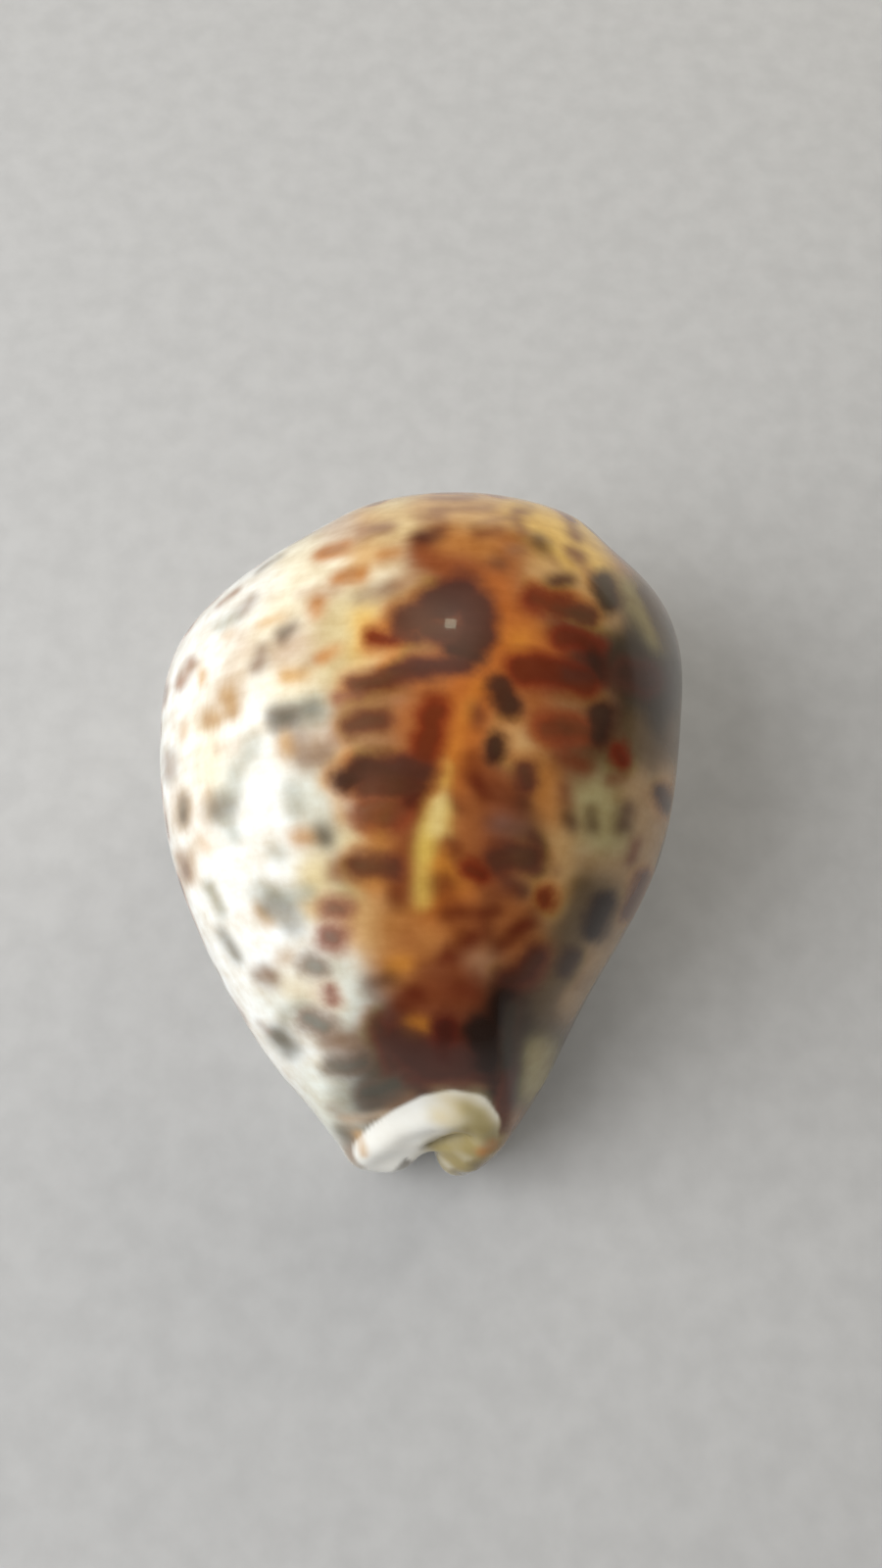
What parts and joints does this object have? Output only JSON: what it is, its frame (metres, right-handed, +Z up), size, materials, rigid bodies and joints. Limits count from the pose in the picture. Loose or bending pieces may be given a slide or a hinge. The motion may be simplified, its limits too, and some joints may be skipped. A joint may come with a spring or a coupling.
{
  "type": "tiger cowrie shell",
  "caption": "Hollow, glossy egg-shaped sea shell with a domed spotted back, a flat white base, a toothed slit along the base and a canal notch at each end.",
  "frame": {"origin": "on the base, under the middle of the shell's bounding box", "axes": "-Y towards the narrow front end with its canal, +Y towards the wide rear end, +X towards the inner lip's side, +Z up through the domed back"},
  "size_m": [0.059, 0.0759, 0.0445],
  "materials": {
    "shell": "glossy"
  },
  "bodies": {
    "root": {"shell": "shell"}
  },
  "joints": []
}
